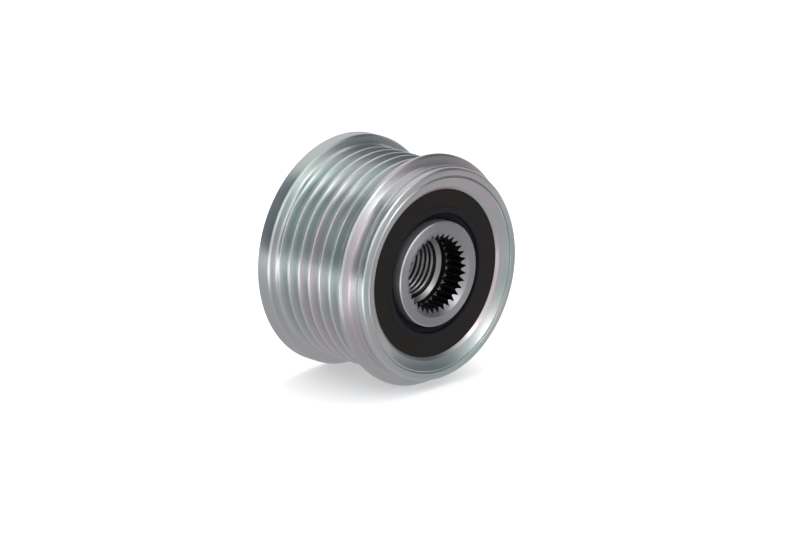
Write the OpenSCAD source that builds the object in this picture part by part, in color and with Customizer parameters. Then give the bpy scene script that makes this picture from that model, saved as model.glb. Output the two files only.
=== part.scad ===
// Overrunning pulley for an alternator: grooved ring, one-way roller clutch between
// two needle bearings, and a hub with an internal serration for the holding tool.
// The axis is Y. The origin is on the axis in the plane of the hub's rear seat, +Y
// points to the alternator, and the serration opens towards -Y. Lengths in mm.
// In the profiles below each point is [radius, distance forward of the rear seat].

/* [Belt grooves] */
// Distance between two neighbouring grooves
rib_pitch = 3.56; // [3.2:0.02:3.9]
// Number of grooves
groove_count = 6; // [5:1:8]
// Included angle of a groove
groove_angle = 40; // [36:1:44]
// Width of a crest before its edges are rounded
crest_w = 0.7; // [0.5:0.05:1]
// Rounding of a crest's edges
crest_round_r = 0.2; // [0.1:0.05:0.25]
// Rounding of a groove's bottom
groove_root_r = 0.5; // [0.4:0.05:0.6]

/* [Ring] */
// Wall between the bore and the bottoms of the grooves
ring_wall = 2.813; // [2.2:0.001:4]
// Height of the flanges above the crests
flange_h = 2.25; // [1.5:0.05:3]
// Width of the rear flange at its rim
rear_flange_w = 4.3; // [3:0.1:6]
// Width of the slope from the rear flange down to the grooves
rear_slope_w = 0.37; // [0.2:0.01:1.5]
// Width of the land between that slope and the first groove
rear_land_w = 0.85; // [0.5:0.05:1.5]
// Width of the slope from the grooves up to the front flange
front_slope_w = 0.99; // [0.6:0.01:1.8]
// Width of the rounded front flange
front_flange_w = 1.58; // [1.3:0.02:2.4]
// Height of the front flange's rounding
front_flange_rise = 0.56; // [0.3:0.02:0.6]
// Width of the flange's front face, which leans a little
shoulder_w = 0.29; // [0.1:0.01:0.6]
// How far the rim in front of the flanges lies below the crests
rim_drop = 0.2; // [0:0.05:0.6]
// Length of that rim
rim_w = 4.96; // [4.5:0.02:7]
// Distance from the rim's front to the end cap's snap groove
cap_groove_set = 1.38; // [1:0.02:2]
// Width of the snap groove
cap_groove_w = 1.04; // [0.6:0.02:1.6]
// Depth of the snap groove
cap_groove_depth = 0.55; // [0.3:0.05:0.8]
// Thickness of the lip round the front recess
rim_lip_w = 1.95; // [1.5:0.05:2.6]
// Depth of the front recess
recess_depth = 1.13; // [0.8:0.01:1.5]
// Fillet at the foot of the lip
recess_fillet_r = 0.55; // [0.2:0.05:0.75]
// Depth of the bore's lead-in at each mouth
bore_lead_l = 0.62; // [0.3:0.02:0.8]
// Radial width of that lead-in
bore_lead_w = 0.73; // [0.4:0.01:0.9]
// Edge chamfer of the flanges
flange_chamfer = 0.45; // [0.2:0.05:0.6]
// Fine edge chamfer of the lip
lip_chamfer = 0.15; // [0.05:0.05:0.25]
// Size of the corner between the rim and the flange's front face
rim_corner = 0.15; // [0.05:0.05:0.2]

/* [Hub] */
// Distance from the hub's rear seat to the ring's rear face
ring_set_forward = 3; // [2:0.1:5]
// Distance that the hub's front face lies behind the lip
hub_set_back = 0.64; // [0.3:0.02:1.2]
// Nominal diameter of the shaft's thread
thread_d = 16; // [14:0.1:18]
// Radial step from the thread out to the shaft's pilot bore
pilot_step = 0.5; // [0.3:0.05:1]
// Width of the hub's front face round its countersink
hub_face_w = 2.38; // [1.6:0.02:3.2]
// Height above the shank of the rear collar that the ramp sleeve seats on
collar_h = 1.12; // [0.8:0.02:1.6]
// Edge chamfer of the collar
collar_chamfer = 0.5; // [0.2:0.05:0.8]
// Edge chamfer of the hub's front face
hub_chamfer = 0.3; // [0.1:0.05:0.5]
// Depth of the pilot bore
pilot_l = 11; // [8:0.1:13]
// Chamfer at the mouth of the pilot bore
pilot_chamfer = 0.4; // [0.2:0.05:0.45]
// Depth from the hub's front face to the cone that leads into the thread
cone_depth = 8.06; // [7.4:0.02:9]
// Included angle of that cone
cone_angle = 120; // [100:1:130]

/* [Serration] */
// Number of teeth
tooth_count = 33; // [30:1:36]
// Radial step from the thread out to the tooth tips
tip_step = 1; // [0.6:0.05:1.4]
// Depth of the tooth spaces
tooth_depth = 1.1; // [0.8:0.05:1.4]
// Width of the flat at the bottom of a tooth space
tooth_space_w = 0.15; // [0.08:0.01:0.3]
// Length of the teeth from the hub's front face
tooth_l = 6.56; // [5:0.02:7.5]
// Radial step from the tooth tips out to the bore behind the teeth
relief_step = 0.1; // [0.05:0.05:0.4]
// Radial step from the tooth spaces out to the countersink's edge
countersink_step = 0.8; // [0.4:0.05:1.2]
// Included angle of the countersink
countersink_angle = 120; // [100:1:130]

/* [Clutch and bearings] */
// Diameter of the rollers and the needles
roller_d = 3.46; // [3:0.02:4]
// Wall of the ramp sleeve at its raceways
sleeve_wall = 2.42; // [1.8:0.02:3.2]
// Wall of the outer race sleeve
race_wall = 1.97; // [1.4:0.01:2.6]
// Number of clamping rollers
clutch_count = 10; // [8:1:11]
// Number of needles in each bearing
needle_count = 18; // [14:1:20]
// Length of each needle bearing
bearing_l = 7.6; // [6:0.1:8.4]
// Thickness of each cage's end rims on the needle bearings
bearing_rim_w = 0.6; // [0.4:0.05:1]
// Thickness of the clutch cage's end rims
clutch_rim_w = 1.1; // [0.6:0.05:1.4]
// Angle between the roller's radius and its ramp's normal
ramp_angle = 8; // [6:0.5:10]
// Thickness of a spring's leaf
leaf_t = 0.2; // [0.1:0.02:0.3]
// Distance from each end of a pocket to its spring
leaf_set = 1; // [0.4:0.1:1.6]
// Height of a spring's folds
leaf_h = 1.7; // [1.3:0.05:1.9]
// Angle of the wall between a pocket and the next roller's
bar_angle = 11; // [8:0.5:13]
// Edge chamfer of the two race sleeves
race_chamfer = 0.3; // [0.1:0.05:0.5]
// Edge chamfer of the rollers and needles
roller_chamfer = 0.15; // [0.05:0.05:0.3]
// Thickness of each thrust washer
washer_t = 0.8; // [0.5:0.05:1.2]
// Radial gap between a thrust washer and the ramp sleeve in it
washer_gap = 0.7; // [0.4:0.05:1.2]

/* [Seals] */
// Length of each seal
seal_l = 3; // [2.6:0.1:3.4]
// Depth of the rear seal's face below the ring's rear face
rear_seal_depth = 0.9; // [0.8:0.05:1.4]
// Wall of a seal case in its bore
case_wall = 1.5; // [1:0.1:2]
// Thickness of a seal case's face
case_face_t = 0.8; // [0.5:0.05:1.1]
// Radial gap between the face of the rear seal and the hub's collar in it
seal_gap = 0.65; // [0.4:0.05:1]
// Width of the lip's face round that bore
lip_face_w = 1.8; // [1.2:0.05:2.4]
// How far a seal's face swells out at its bore
seal_swell = 0.14; // [0:0.01:0.3]
// Thickness of a seal lip's face
lip_face_t = 0.72; // [0.5:0.02:0.9]
// Length of the lip's edge that runs on the hub
lip_run_l = 0.35; // [0.2:0.05:0.5]
// Depth from a seal's outer edge to the end of the ramp sleeve
sleeve_depth = 2.14; // [2:0.02:2.3]

/* [Clearances] */
// Radial clearance of a roller in its raceways
roller_clearance = 0.02; // [0.01:0.005:0.03]
// Clearance between a roller and its cage pocket
pocket_clearance = 0.06; // [0.04:0.01:0.1]
// End clearance between neighbouring cages and washers
end_clearance = 0.15; // [0.1:0.01:0.25]
// Radial clearance of a cage in the outer raceway
cage_clearance = 0.25; // [0.15:0.05:0.35]
// Clearance between the clutch cage and the cam that keys it
cam_clearance = 0.08; // [0.04:0.01:0.12]
// Gap at each end of a spring in its pocket
leaf_clearance = 0.03; // [0.02:0.01:0.08]
// Clearance between a seal's lip and the hub that it runs on
lip_clearance = 0.05; // [0.03:0.01:0.1]
// Gap between the back of a seal's lip and the end of the ramp sleeve
lip_back_gap = 0.3; // [0.2:0.05:0.5]

/* [Hidden] */
$fn = 96;
arc_steps = 4;
root_steps = 8;

half_flank = groove_angle / 2;
land_half = crest_w / 2;
groove_half_w = rib_pitch / 2 - land_half;
groove_depth = groove_half_w / tan(half_flank) - groove_root_r * (1 / sin(half_flank) - 1);

// Radii, each a wall or a gap out from the one inside it, from the shaft to the flanges
thread_r = thread_d / 2;
pilot_r = thread_r + pilot_step;
tooth_tip_r = thread_r + tip_step;
tooth_space_r = tooth_tip_r + tooth_depth;
relief_r = tooth_tip_r + relief_step;
countersink_r = tooth_space_r + countersink_step;
hub_r = countersink_r + hub_face_w;
collar_r = hub_r + collar_h;
seal_bore_r = collar_r + seal_gap;
lip_outer_r = seal_bore_r + lip_face_w;
inner_race_r = hub_r + sleeve_wall;
washer_bore_r = inner_race_r + washer_gap;
roller_r = roller_d / 2;
roller_orbit_r = inner_race_r + roller_clearance + roller_r;
outer_race_r = roller_orbit_r + roller_r + roller_clearance;
ring_bore_r = outer_race_r + race_wall;
lead_r = ring_bore_r + bore_lead_w;
crest_r = ring_bore_r + ring_wall + groove_depth;
flange_r = crest_r + flange_h;
rim_r = crest_r - rim_drop;
recess_r = rim_r - rim_lip_w;

// Stations along the axis, counted forward from the rear seat
ring_rear = ring_set_forward;
rear_flange_end = ring_rear + rear_flange_w;
first_land = rear_flange_end + rear_slope_w;
first_crest = first_land + rear_land_w - land_half;
last_crest = first_crest + groove_count * rib_pitch;
last_land = last_crest + land_half;
front_flange_start = last_land + front_slope_w;
front_flange_end = front_flange_start + front_flange_w;
rim_start = front_flange_end + shoulder_w;
ring_front = rim_start + rim_w;
recess_face = ring_front - recess_depth;
front_seal_edge = recess_face - bore_lead_l;
rear_seal_edge = ring_rear + rear_seal_depth;
hub_front = ring_front - hub_set_back;

rear_washer_start = rear_seal_edge + seal_l;
race_start = rear_washer_start + washer_t;
front_washer_start = front_seal_edge - seal_l - washer_t;
race_end = front_washer_start;
rear_bearing_start = race_start + end_clearance;
clutch_start = rear_bearing_start + bearing_l + end_clearance;
front_bearing_start = race_end - end_clearance - bearing_l;
clutch_end = front_bearing_start - end_clearance;
clutch_l = clutch_end - clutch_start;
sleeve_start = rear_seal_edge + sleeve_depth;
sleeve_end = front_seal_edge - sleeve_depth;

cage_outer_r = outer_race_r - cage_clearance;
bearing_cage_bore_r = inner_race_r + cage_clearance;

countersink_slope = tan(countersink_angle / 2);
tooth_end = hub_front - tooth_l;
cone_start = hub_front - cone_depth;
cone_end = cone_start - (relief_r - thread_r) / tan(cone_angle / 2);
// The V spaces start this far inside the tooth tips, so that their flanks cross the bore
tooth_apex_over = 0.27;
cut_over = 1;

// The cam has one flat for each clamping roller. Its flats touch the rollers but for
// their clearance, and each leans by the ramp angle, so the gap narrows clockwise.
cam_flat_r = roller_orbit_r * cos(ramp_angle) - roller_r - roller_clearance;
cam_corner_r = cam_flat_r / cos(180 / clutch_count);
cam_step = 360 / clutch_count;
roller_half_angle = asin((roller_r + pocket_clearance) / roller_orbit_r);
pocket_end_angle = cam_step - roller_half_angle - bar_angle;
clutch_pocket_l = clutch_l - 2 * clutch_rim_w;
clutch_roller_l = clutch_pocket_l - 2 * pocket_clearance;
leaf_l = clutch_pocket_l - 2 * leaf_set;
needle_l = bearing_l - 2 * bearing_rim_w - 2 * pocket_clearance;
leaf_folds = 3;
// A seal's face rises evenly from its case to its bore, and the case has this much of it
case_swell = seal_swell * (ring_bore_r - lip_outer_r) / (ring_bore_r - seal_bore_r);

zinc = [0.78, 0.80, 0.80];
steel = [0.62, 0.63, 0.64];
race_steel = [0.50, 0.51, 0.53];
roller_steel = [0.72, 0.73, 0.75];
cage_brown = [0.40, 0.27, 0.16];
spring_steel = [0.55, 0.57, 0.62];
seal_black = [0.14, 0.13, 0.13];
lip_black = [0.09, 0.10, 0.12];

function polar(r, a) = [r * cos(a), r * sin(a)];

// Points of an arc round c from angle a0 to angle a1
function arc(c, r, a0, a1, steps) =
    [for (i = [0 : steps]) c + polar(r, a0 + (a1 - a0) * i / steps)];

// Stands a shape that is built round Z along the part's axis, front towards -Y
module along_axis(start = 0) {
    rotate([90, 0, 0]) translate([0, 0, start]) children();
}

module turned(points) {
    along_axis() rotate_extrude() polygon(points);
}

// Copies a clutch piece to one of the ramps
module at_ramp(i) {
    rotate([0, 0, 90 + (i - 1) * cam_step]) children();
}

// One V groove between two crests, with rounded crest edges and a round bottom
function groove(centre) =
    let (
        crest_set = groove_half_w + crest_round_r * tan(45 - half_flank / 2),
        crest_c = crest_r - crest_round_r,
        lean = 90 - half_flank
    )
    concat(
        arc([crest_c, centre - crest_set], crest_round_r, 0, lean, arc_steps),
        arc([crest_r - groove_depth + groove_root_r, centre], groove_root_r,
            180 + lean, 180 - lean, root_steps),
        arc([crest_c, centre + crest_set], crest_round_r, -lean, 0, arc_steps)
    );

// Rounded top of the front flange, an arc over its width
function bead() =
    let (
        half_w = front_flange_w / 2,
        r = (half_w * half_w + front_flange_rise * front_flange_rise) / (2 * front_flange_rise),
        sweep = asin(half_w / r)
    )
    arc([flange_r - r, front_flange_start + half_w], r, -sweep, sweep, root_steps);

function snap_groove() =
    let (
        front = ring_front - cap_groove_set,
        rear = front - cap_groove_w,
        floor_r = rim_r - cap_groove_depth,
        lean = cap_groove_depth / 4
    )
    [[rim_r, rear], [floor_r, rear + lean], [floor_r, front - lean], [rim_r, front]];

module pulley_ring() {
    color(zinc) turned(concat(
        [
            [lead_r, ring_rear],
            [flange_r - flange_chamfer, ring_rear],
            [flange_r, ring_rear + flange_chamfer],
            [flange_r, rear_flange_end - flange_chamfer],
            [flange_r - flange_chamfer, rear_flange_end],
            [crest_r, first_land]
        ],
        [for (i = [0 : groove_count - 1]) each groove(first_crest + (i + 0.5) * rib_pitch)],
        [[crest_r, last_land]],
        bead(),
        [[rim_r + 2 * rim_corner, rim_start], [rim_r, rim_start + rim_corner]],
        snap_groove(),
        [
            [rim_r, ring_front - lip_chamfer],
            [rim_r - lip_chamfer, ring_front],
            [recess_r + lip_chamfer, ring_front],
            [recess_r, ring_front - lip_chamfer]
        ],
        arc([recess_r - recess_fillet_r, recess_face + recess_fillet_r], recess_fillet_r,
            0, -90, arc_steps),
        [
            [lead_r, recess_face],
            [ring_bore_r, front_seal_edge],
            [ring_bore_r, ring_rear + bore_lead_l]
        ]
    ));
}

module outer_race_sleeve() {
    edge = race_chamfer;
    color(race_steel) turned([
        [outer_race_r + edge, race_start], [ring_bore_r - edge, race_start],
        [ring_bore_r, race_start + edge], [ring_bore_r, race_end - edge],
        [ring_bore_r - edge, race_end], [outer_race_r + edge, race_end],
        [outer_race_r, race_end - edge], [outer_race_r, race_start + edge]
    ]);
}

// Outline of the tooth spaces: straight flanks between a narrow bottom and an apex
function serration() =
    let (
        step = 360 / tooth_count,
        half_bottom = asin(tooth_space_w / 2 / tooth_space_r),
        apex_r = tooth_tip_r - tooth_apex_over
    )
    [for (i = [0 : tooth_count - 1]) each [
        polar(tooth_space_r, i * step - half_bottom),
        polar(tooth_space_r, i * step + half_bottom),
        polar(apex_r, (i + 0.5) * step)
    ]];

module hub() {
    tip_start = hub_front - (countersink_r - tooth_tip_r) / countersink_slope;
    color(steel) difference() {
        turned([
            [pilot_r + pilot_chamfer, 0],
            [collar_r - collar_chamfer, 0],
            [collar_r, collar_chamfer],
            [collar_r, sleeve_start],
            [hub_r, sleeve_start],
            [hub_r, hub_front - hub_chamfer],
            [hub_r - hub_chamfer, hub_front],
            [countersink_r, hub_front],
            [tooth_tip_r, tip_start],
            [tooth_tip_r, tooth_end],
            [relief_r, tooth_end],
            [relief_r, cone_start],
            [thread_r, cone_end],
            [thread_r, pilot_l + (pilot_r - thread_r)],
            [pilot_r, pilot_l],
            [pilot_r, pilot_chamfer]
        ]);
        along_axis(tooth_end) linear_extrude(tooth_l + cut_over) polygon(serration());
    }
}

function cam(flat_r) =
    [for (i = [0 : clutch_count - 1])
        polar(flat_r / cos(cam_step / 2), 90 + ramp_angle + (i + 0.5) * cam_step)];

module inner_ramp_sleeve() {
    edge = race_chamfer;
    color(race_steel) difference() {
        union() {
            turned([
                [hub_r - cut_over, sleeve_start], [inner_race_r - edge, sleeve_start],
                [inner_race_r, sleeve_start + edge], [inner_race_r, clutch_start],
                [hub_r - cut_over, clutch_start]
            ]);
            along_axis(clutch_start) linear_extrude(clutch_l) polygon(cam(cam_flat_r));
            turned([
                [hub_r - cut_over, clutch_end], [inner_race_r, clutch_end],
                [inner_race_r, sleeve_end - edge], [inner_race_r - edge, sleeve_end],
                [hub_r - cut_over, sleeve_end]
            ]);
        }
        along_axis(sleeve_start - cut_over)
            cylinder(r = hub_r, h = sleeve_end - sleeve_start + 2 * cut_over);
    }
}

// Outline of a clutch pocket: room for the roller, and beside it for its spring
function pocket() =
    let (a0 = -roller_half_angle, a1 = pocket_end_angle)
    [polar(cam_flat_r - cut_over, a0), polar(outer_race_r + cut_over, a0),
     polar(outer_race_r + cut_over, a1), polar(cam_flat_r - cut_over, a1)];

module clutch_cage() {
    color(cage_brown) along_axis(clutch_start) difference() {
        cylinder(r = cage_outer_r, h = clutch_l);
        translate([0, 0, -cut_over]) linear_extrude(clutch_l + 2 * cut_over)
            polygon(cam(cam_flat_r + cam_clearance));
        for (i = [1 : clutch_count]) at_ramp(i)
            translate([0, 0, clutch_rim_w])
                linear_extrude(clutch_pocket_l) polygon(pocket());
    }
}

module roller(length) {
    edge = roller_chamfer;
    rotate_extrude() polygon([
        [0, 0], [roller_r - edge, 0], [roller_r, edge], [roller_r, length - edge],
        [roller_r - edge, length], [0, length]
    ]);
}

module clutch_roller(i) {
    color(roller_steel) along_axis(clutch_start + clutch_rim_w + pocket_clearance)
        at_ramp(i) translate([roller_orbit_r, 0, 0]) roller(clutch_roller_l);
}

// A strip of even thickness along a path
function unit(v) = v / norm(v);
function side(v) = [-v[1], v[0]];
function strip_offset(path, i, w) =
    let (
        last = len(path) - 1,
        before = side(unit(path[max(i, 1)] - path[max(i, 1) - 1])),
        after = side(unit(path[min(i, last - 1) + 1] - path[min(i, last - 1)]))
    )
    w * (before + after) / (1 + before * after);
function strip(path, w) = concat(
    [for (i = [0 : len(path) - 1]) path[i] + strip_offset(path, i, w / 2)],
    [for (i = [len(path) - 1 : -1 : 0]) path[i] - strip_offset(path, i, w / 2)]
);

// Folded leaf between the roller and the cage bar behind it, with its legs along radii
module clutch_spring(i) {
    mid_r = (outer_race_r + cam_corner_r) / 2;
    low_r = mid_r - leaf_h / 2;
    high_r = mid_r + leaf_h / 2;
    edge_set = leaf_t / 2 + leaf_clearance;
    first_leg = asin((roller_r + edge_set) / roller_orbit_r);
    last_leg = pocket_end_angle - asin(edge_set / low_r);
    fold = (last_leg - first_leg) / leaf_folds;
    path = [for (k = [0 : leaf_folds]) each
        let (a = first_leg + k * fold)
        k % 2 == 0 ? [polar(low_r, a), polar(high_r, a)] : [polar(high_r, a), polar(low_r, a)]];
    color(spring_steel)
        along_axis(clutch_start + clutch_rim_w + leaf_set) at_ramp(i)
            linear_extrude(leaf_l) polygon(strip(path, leaf_t));
}

module bearing_cage(start) {
    pocket_l = needle_l + 2 * pocket_clearance;
    color(cage_brown) along_axis(start) difference() {
        cylinder(r = cage_outer_r, h = bearing_l);
        translate([0, 0, -cut_over])
            cylinder(r = bearing_cage_bore_r, h = bearing_l + 2 * cut_over);
        for (i = [0 : needle_count - 1]) rotate([0, 0, i * 360 / needle_count])
            translate([roller_orbit_r, 0, bearing_rim_w])
                cylinder(r = roller_r + pocket_clearance, h = pocket_l);
    }
}

module bearing_needles(start) {
    color(roller_steel) along_axis(start + bearing_rim_w + pocket_clearance)
        for (i = [0 : needle_count - 1]) rotate([0, 0, i * 360 / needle_count])
            translate([roller_orbit_r, 0, 0]) roller(needle_l);
}

module thrust_washer(start) {
    color(race_steel) along_axis(start) difference() {
        cylinder(r = ring_bore_r, h = washer_t);
        translate([0, 0, -cut_over]) cylinder(r = washer_bore_r, h = washer_t + 2 * cut_over);
    }
}

// Places a seal's profile of [radius, depth below its outer edge] at one end of the ring
function seal_points(edge, inward, points) = [for (p = points) [p[0], edge + inward * p[1]]];

module seal_case(edge, inward) {
    wall_r = ring_bore_r - case_wall;
    color(seal_black) turned(seal_points(edge, inward, [
        [ring_bore_r, 0], [ring_bore_r, seal_l], [wall_r, seal_l],
        [wall_r, case_face_t], [lip_outer_r, case_face_t], [lip_outer_r, -case_swell]
    ]));
}

// The front lip runs on the hub's shank and the rear one on its collar
module seal_lip(edge, inward, shaft_r) {
    run_r = shaft_r + lip_clearance;
    lip_back = sleeve_depth - lip_back_gap;
    color(lip_black) turned(seal_points(edge, inward, [
        [lip_outer_r, -case_swell], [seal_bore_r, -seal_swell], [seal_bore_r, lip_face_t],
        [run_r, lip_back - lip_run_l], [run_r, lip_back], [lip_outer_r, lip_back]
    ]));
}

pulley_ring();
outer_race_sleeve();
hub();
inner_ramp_sleeve();
clutch_cage();
for (i = [1 : clutch_count]) {
    clutch_roller(i);
    clutch_spring(i);
}
bearing_cage(front_bearing_start);  // front_bearing_cage
bearing_needles(front_bearing_start);  // front_bearing_needles
bearing_cage(rear_bearing_start);  // rear_bearing_cage
bearing_needles(rear_bearing_start);  // rear_bearing_needles
seal_case(front_seal_edge, -1);  // front_seal_case
seal_lip(front_seal_edge, -1, hub_r);  // front_seal_lip
seal_case(rear_seal_edge, 1);  // rear_seal_case
seal_lip(rear_seal_edge, 1, collar_r);  // rear_seal_lip
thrust_washer(front_washer_start);  // front_thrust_washer
thrust_washer(rear_washer_start);  // rear_thrust_washer
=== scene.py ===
"""Looks for an overrunning alternator pulley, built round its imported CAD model."""

import math

import bmesh
import bpy
from bpy.props import FloatProperty, FloatVectorProperty, IntProperty, PointerProperty
from mathutils import Matrix, Vector


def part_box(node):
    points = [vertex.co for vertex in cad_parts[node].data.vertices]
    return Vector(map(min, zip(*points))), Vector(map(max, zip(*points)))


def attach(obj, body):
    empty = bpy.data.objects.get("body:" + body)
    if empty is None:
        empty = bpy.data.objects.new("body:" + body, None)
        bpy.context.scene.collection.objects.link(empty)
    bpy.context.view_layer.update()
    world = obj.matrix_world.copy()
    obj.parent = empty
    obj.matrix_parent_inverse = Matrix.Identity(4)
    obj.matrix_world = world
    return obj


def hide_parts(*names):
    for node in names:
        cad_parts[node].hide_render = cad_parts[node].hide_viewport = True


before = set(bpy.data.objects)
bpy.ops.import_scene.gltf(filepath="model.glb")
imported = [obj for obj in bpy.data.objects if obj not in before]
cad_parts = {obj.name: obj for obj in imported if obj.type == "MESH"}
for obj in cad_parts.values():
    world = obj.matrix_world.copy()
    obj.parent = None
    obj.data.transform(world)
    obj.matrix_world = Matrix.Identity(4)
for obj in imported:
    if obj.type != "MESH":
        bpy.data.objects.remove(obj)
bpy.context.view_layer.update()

bl_info = {
    "name": "Overrunning pulley",
    "version": (1, 0, 0),
    "blender": (4, 5, 0),
    "location": "3D View > Sidebar > Pulley",
    "description": "Turns the ring and the seals, adds the hub's thread, finishes every piece",
    "category": "Add Mesh",
}

MM = 0.001
AXIS = Vector((0, 1, 0))

# What the frame says about the sizes that other pieces share. A station is a distance forward
# of the hub's rear seat, which lies in the plane of the origin, so it is -y.
RING_LOW, RING_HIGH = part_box("pulley_ring")
FLOOR_Z = RING_LOW.z
RING_REAR = -RING_HIGH.y
RING_FRONT = -RING_LOW.y
HUB_FRONT = -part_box("hub")[0].y
SEAL_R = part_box("front_seal_case")[1].x
FRONT_SEAL_INNER = -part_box("front_seal_case")[1].y
REAR_SEAL_INNER = -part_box("rear_seal_case")[0].y
LIP_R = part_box("front_seal_lip")[1].x

# Cards that the metal shows: name, place in metres, turn in degrees, width and length in
# metres, share of the card that fades out at each edge, tone and strength
CARDS = (
    ("dark_wall", (-1.04, 1.7, 0.78), (0, -53, 0), (2.5, 4.6), 0.1, (0.045, 0.066, 0.085, 1), 1.0),
    ("softbox", (0.12, -1.08, 0.50), (65, -15, 0), (0.32, 1.0), 0.3, (1, 1, 1, 1), 3.7),
    ("edge_strip", (-0.76, -0.42, 0.67), (0, 52, 209), (1.0, 0.22), 0.3, (1, 1, 1, 1), 3.6),
    ("front_flag", (0.95, -0.62, 0.6), (90, 0, 57), (1.3, 1.7), 0.15, (0.085, 0.09, 0.10, 1), 1.0),
    ("right_flag", (1.1, 0.0, 0.9), (0, 51, 0), (0.9, 1.2), 0.2, (0.07, 0.075, 0.085, 1), 1.0),
    ("near_floor", (0, 0, -0.0290), (0, 0, -45), (1.2, 0.24), 0.25, (0.38, 0.385, 0.39, 1), 1.0),
    ("front_floor", (0.06, -0.42, -0.0291), (0, 0, 0), (0.5, 0.8), 0.25,
     (0.22, 0.22, 0.23, 1), 1.0),
)


# Sizes and colours that a user can change


def length_setting(name, description, default):
    """A property for a length in metres."""
    return FloatProperty(name=name, description=description, default=default,
                         unit="LENGTH", precision=5)


def angle_setting(name, description, degrees):
    """A property for an angle, its default in degrees."""
    return FloatProperty(name=name, description=description, default=math.radians(degrees),
                         unit="ROTATION")


def colour_setting(name, description, default):
    """A property for a colour."""
    return FloatVectorProperty(name=name, description=description, default=default,
                               subtype="COLOR", size=4, min=0, max=1)


class RingSizes(bpy.types.PropertyGroup):
    """Sizes of the grooved ring."""
    flange_r: length_setting("Flange radius", "Radius over the flanges", RING_HIGH.x)
    crest_r: length_setting(
        "Crest radius", "Radius over the crests between the grooves", 26.95 * MM)
    rib_pitch: length_setting("Rib pitch", "Distance between two neighbouring grooves", 3.56 * MM)
    groove_count: IntProperty(
        name="Grooves", description="Number of belt grooves", default=6, min=1)
    groove_angle: angle_setting("Groove angle", "Included angle of a groove", 40)
    crest_w: length_setting(
        "Crest width", "Width of a crest before its edges are rounded", 0.7 * MM)
    crest_round: length_setting("Crest rounding", "Radius of a crest's edges", 0.42 * MM)
    root_round: length_setting("Groove rounding", "Radius of a groove's bottom", 0.5 * MM)
    rear_flange_w: length_setting(
        "Rear flange width", "Width of the rear flange at its rim", 4.3 * MM)
    rear_slope_w: length_setting(
        "Rear slope width", "Width of the slope down to the grooves", 0.37 * MM)
    rear_fillet: length_setting(
        "Rear fillet", "Fillet at the foot of the rear flange's slope", 0.78 * MM)
    rear_land_w: length_setting(
        "Rear land width", "Width of the land before the first groove", 0.85 * MM)
    front_slope_w: length_setting(
        "Front slope width", "Width of the slope up to the front flange", 0.99 * MM)
    front_flange_w: length_setting(
        "Front flange width", "Width of the rounded front flange", 1.58 * MM)
    front_flange_rise: length_setting(
        "Front flange rise", "Height of the front flange's rounding", 0.56 * MM)
    shoulder_w: length_setting(
        "Shoulder width", "Width of the front flange's leaning front face", 0.29 * MM)
    rim_r: length_setting("Rim radius", "Radius of the rim in front of the flanges", 26.75 * MM)
    snap_set: length_setting(
        "Snap groove place", "Distance from the rim's front to its snap groove", 1.38 * MM)
    snap_w: length_setting("Snap groove width", "Width of the snap groove", 1.04 * MM)
    snap_depth: length_setting("Snap groove depth", "Depth of the snap groove", 0.55 * MM)
    recess_r: length_setting("Recess radius", "Radius of the front recess", 24.8 * MM)
    recess_depth: length_setting("Recess depth", "Depth of the front recess", 1.13 * MM)
    recess_round: length_setting("Recess fillet", "Fillet at the foot of the lip", 0.55 * MM)
    lead_l: length_setting("Lead-in depth", "Depth of the bore's lead-in", 0.62 * MM)
    lead_w: length_setting("Lead-in width", "Radial width of the bore's lead-in", 0.73 * MM)
    # The bright line along an edge is a painted highlight, not wear
    shine_w: length_setting(
        "Bright line width", "Width of the bright line along a worn edge", 0.4 * MM)
    flange_chamfer: length_setting("Flange chamfer", "Edge chamfer of the rear flange", 0.45 * MM)
    edge_round: length_setting("Edge rounding", "Fine rounding of turned edges", 0.1 * MM)
    steps: IntProperty(
        name="Steps", description="Faces round the ring", default=256, min=32)


class HubSizes(bpy.types.PropertyGroup):
    """Sizes of the hub's thread and zones."""
    thread_r: length_setting(
        "Thread radius", "Outer radius of the thread in the hub's bore", 8 * MM)
    thread_pitch: length_setting(
        "Thread pitch", "Distance between two turns of the thread", 1.5 * MM)
    thread_depth: length_setting("Thread depth", "Height of the thread's ridge", 0.81 * MM)
    crest_w: length_setting("Thread crest width", "Width of the flat on the ridge", 0.375 * MM)
    thread_flank: angle_setting("Thread flank", "Lean of the thread's flanks", 30)
    thread_foot: length_setting(
        "Thread foot", "How far the ridge's foot reaches into the bore's wall", 0.06 * MM)
    thread_round: length_setting("Thread rounding", "Rounding of the ridge's edges", 0.05 * MM)
    thread_start: length_setting(
        "Thread start", "Where the thread starts, from the rear seat", 12.675 * MM)
    thread_turns: IntProperty(
        name="Thread turns", description="Number of turns of the thread", default=10, min=1)
    thread_side: angle_setting(
        "Thread side", "Angle round the axis at which the thread starts", -90)
    shank_r: length_setting("Shank radius", "Outer radius of the hub's front end", 13.28 * MM)
    countersink_r: length_setting(
        "Countersink radius", "Outer radius of the countersink", 10.9 * MM)
    countersink_angle: angle_setting("Countersink angle", "Included angle of the countersink", 120)
    relief_r: length_setting("Relief radius", "Radius of the bore behind the teeth", 9.1 * MM)
    tooth_end: length_setting("Tooth end", "Where the teeth end, from the rear seat", 30.5 * MM)
    cone_start: length_setting("Cone start", "Where the cone into the thread starts", 29 * MM)
    groove_set: length_setting(
        "Thread set-back", "From the cone's start to the thread's first dark groove", 0.85 * MM)
    # The bright line round the front face is a painted highlight
    shine_w: length_setting(
        "Bright line width", "Width of the bright line round the front face", 0.35 * MM)
    steps: IntProperty(
        name="Steps", description="Faces round one turn of the thread", default=96, min=16)


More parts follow.
